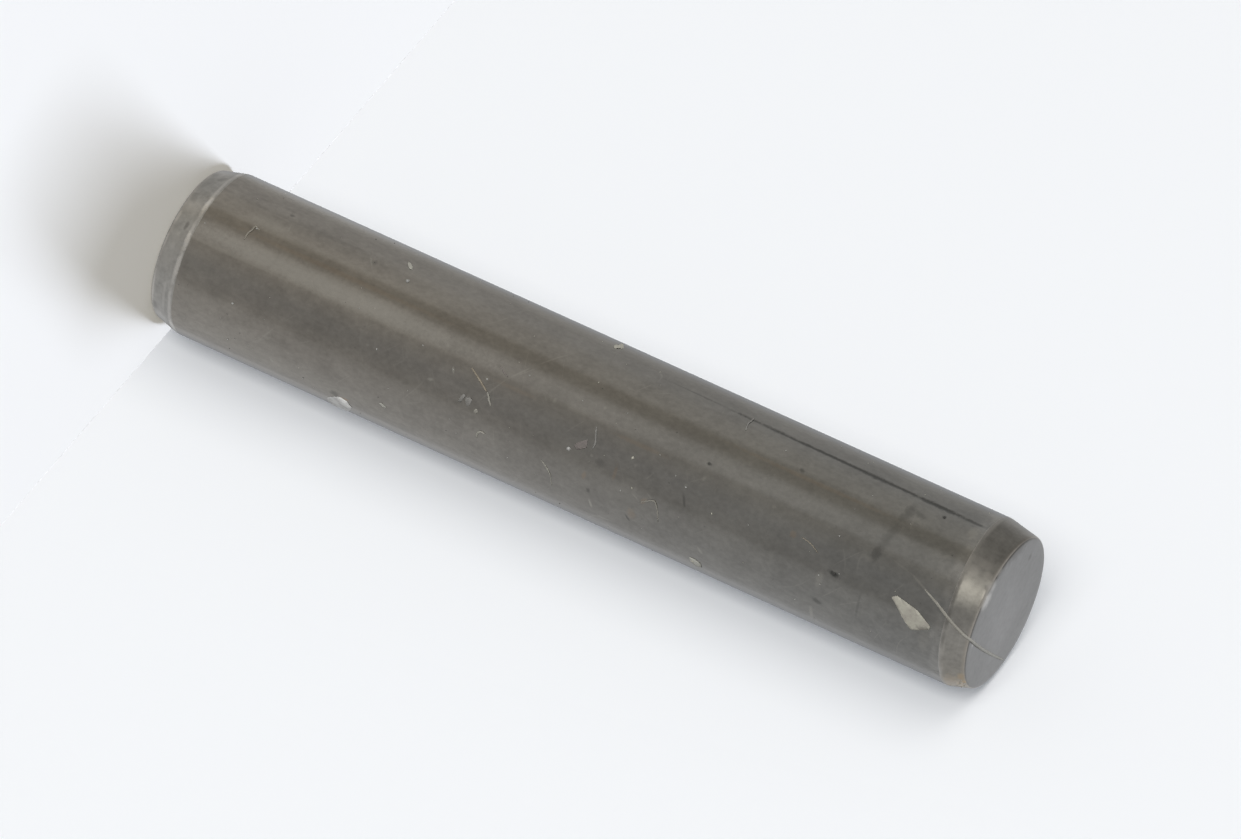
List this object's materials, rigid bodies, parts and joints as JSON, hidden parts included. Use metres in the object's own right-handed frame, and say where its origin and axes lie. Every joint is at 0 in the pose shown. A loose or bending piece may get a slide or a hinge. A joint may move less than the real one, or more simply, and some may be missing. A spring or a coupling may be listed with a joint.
{
  "type": "dowel pin",
  "caption": "Plain steel dowel pin: a ground cylinder with a shallow lead chamfer and flat face at each end, for locating two parts against each other.",
  "frame": {"origin": "centre of the lower end face, the flat face that the pin stands on", "axes": "+Z along the pin's own axis, up from the lower end face to the upper one; +X and +Y are alike, because the pin is round"},
  "size_m": [0.003, 0.003, 0.016],
  "materials": {
    "ground_steel": "hardened steel, ground barrel with turned chamfers, dull and slightly oiled"
  },
  "bodies": {
    "root": {"dowel_pin": "ground_steel"}
  },
  "joints": []
}
